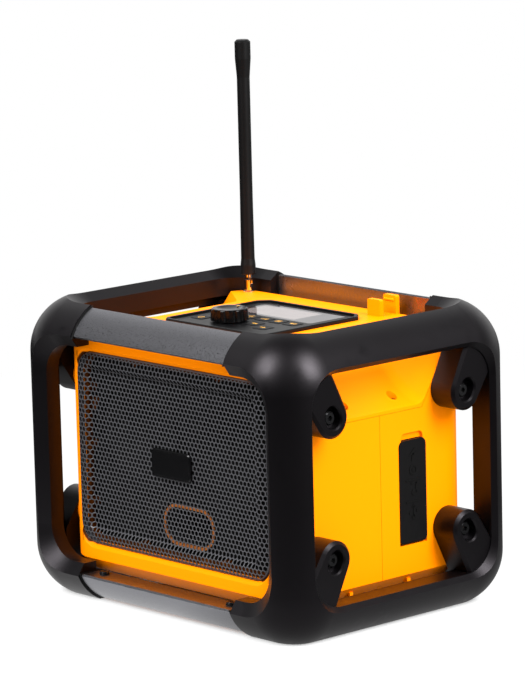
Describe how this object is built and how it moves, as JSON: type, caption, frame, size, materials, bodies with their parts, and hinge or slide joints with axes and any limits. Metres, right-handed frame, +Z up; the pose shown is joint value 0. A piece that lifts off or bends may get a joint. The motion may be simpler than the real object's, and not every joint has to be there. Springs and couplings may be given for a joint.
{
  "type": "jobsite radio",
  "caption": "Jobsite radio: a grilled loudspeaker housing hung on arms inside a round-railed roll cage, with top panel, knob, keys, tilting whip aerial, socket cover and battery door.",
  "frame": {"origin": "on the ground under the middle of the roll cage", "axes": "+Z up, -Y towards the front with the grille, +X towards the side with the socket cover"},
  "size_m": [0.2966, 0.2292, 0.3947],
  "materials": {
    "cage": "soft satin black",
    "bar": "satin dark grey anodised",
    "seal": "matt black",
    "screw": "blackened",
    "housing": "satin yellow",
    "grille": "satin dark grey",
    "badge": "gloss black",
    "inner": "matt black",
    "cone": "matt paper",
    "basket": "black",
    "panel": "satin black",
    "window": "clear gloss",
    "display": "pale grey",
    "key": "matt black",
    "knob": "satin black",
    "shaft": "plain",
    "board": "green laminate",
    "sink": "plain",
    "chrome": "polished",
    "whip": "matt black",
    "flap": "matt black",
    "socket": "black",
    "battery": "dark blue sleeve"
  },
  "bodies": {
    "radio": {"aerial_base": "chrome", "aerial_nut": "chrome", "aerial_pin": "chrome", "audio_socket": "socket", "badge_plate": "badge", "bar_bottom_front": "bar", "bar_bottom_rear": "bar", "bar_screws": "screw", "bar_seals": "seal", "bar_top_front": "bar", "bar_top_rear": "bar", "bass_duct": "housing", "battery_door_pin": "shaft", "battery_pack": "battery", "battery_tub": "inner", "board_screws": "screw", "control_board": "board", "cover_screws": "screw", "display_module": "display", "display_window": "window", "encoder_body": "socket", "frame_screws": "screw", "front_shell": "housing", "heat_sink": "sink", "key_switches": "socket", "main_board": "board", "panel_frame": "panel", "power_socket": "socket", "rear_shell": "housing", "shell_screws": "screw", "side_frame_left": "cage", "side_frame_right": "cage", "socket_board": "board", "socket_cover_pin": "shaft", "socket_tub": "inner", "speaker_baffle": "inner", "speaker_cone_left": "cone", "speaker_cone_right": "cone", "speaker_grille": "grille", "speaker_left": "basket", "speaker_right": "basket", "top_cover": "housing", "usb_socket": "socket"},
    "aerial": {"aerial_knuckle": "chrome", "aerial_whip": "whip"},
    "socket_cover": {"socket_cover": "flap"},
    "battery_door": {"battery_door": "inner"},
    "knob_push": {"encoder_plunger": "shaft"},
    "knob": {"encoder_shaft": "shaft", "volume_knob": "knob"},
    "key_band": {"key_band": "key"},
    "key_menu": {"key_menu": "key"},
    "key_next": {"key_next": "key"},
    "key_power": {"key_power": "key"},
    "key_previous": {"key_previous": "key"},
    "key_sound": {"key_sound": "key"},
    "key_source": {"key_source": "key"}
  },
  "joints": [
    {"name": "aerial_tilt", "type": "hinge", "parent": "radio", "child": "aerial", "pos_m": [-0.0955, 0.0746, 0.2114], "axis": [0, 1, 0], "range_deg": [0, 90]},
    {"name": "socket_cover_hinge", "type": "hinge", "parent": "radio", "child": "socket_cover", "pos_m": [0.1186, 0.0316, 0.0533], "axis": [0, 1, 0], "range_deg": [0, 95]},
    {"name": "battery_door_hinge", "type": "hinge", "parent": "radio", "child": "battery_door", "pos_m": [0, 0.0912, 0.0418], "axis": [-1, 0, 0], "range_deg": [0, 100]},
    {"name": "knob_press", "type": "slide", "parent": "radio", "child": "knob_push", "axis": [0, 0, -1], "range_m": [0, 0.001], "stiffness_N_per_m": 1500, "springref_m": -0.0005},
    {"name": "knob_turn", "type": "hinge", "parent": "knob_push", "child": "knob", "pos_m": [-0.011, -0.0217, 0.2051], "axis": [0, 0, 1], "continuous": true},
    {"name": "key_band_press", "type": "slide", "parent": "radio", "child": "key_band", "axis": [0, 0, -1], "range_m": [0, 0.0008], "stiffness_N_per_m": 600, "springref_m": -0.0005},
    {"name": "key_menu_press", "type": "slide", "parent": "radio", "child": "key_menu", "axis": [0, 0, -1], "range_m": [0, 0.0008], "stiffness_N_per_m": 600, "springref_m": -0.0005},
    {"name": "key_next_press", "type": "slide", "parent": "radio", "child": "key_next", "axis": [0, 0, -1], "range_m": [0, 0.0008], "stiffness_N_per_m": 600, "springref_m": -0.0005},
    {"name": "key_power_press", "type": "slide", "parent": "radio", "child": "key_power", "axis": [0, 0, -1], "range_m": [0, 0.0008], "stiffness_N_per_m": 600, "springref_m": -0.0005},
    {"name": "key_previous_press", "type": "slide", "parent": "radio", "child": "key_previous", "axis": [0, 0, -1], "range_m": [0, 0.0008], "stiffness_N_per_m": 600, "springref_m": -0.0005},
    {"name": "key_sound_press", "type": "slide", "parent": "radio", "child": "key_sound", "axis": [0, 0, -1], "range_m": [0, 0.0008], "stiffness_N_per_m": 600, "springref_m": -0.0005},
    {"name": "key_source_press", "type": "slide", "parent": "radio", "child": "key_source", "axis": [0, 0, -1], "range_m": [0, 0.0008], "stiffness_N_per_m": 600, "springref_m": -0.0005}
  ]
}
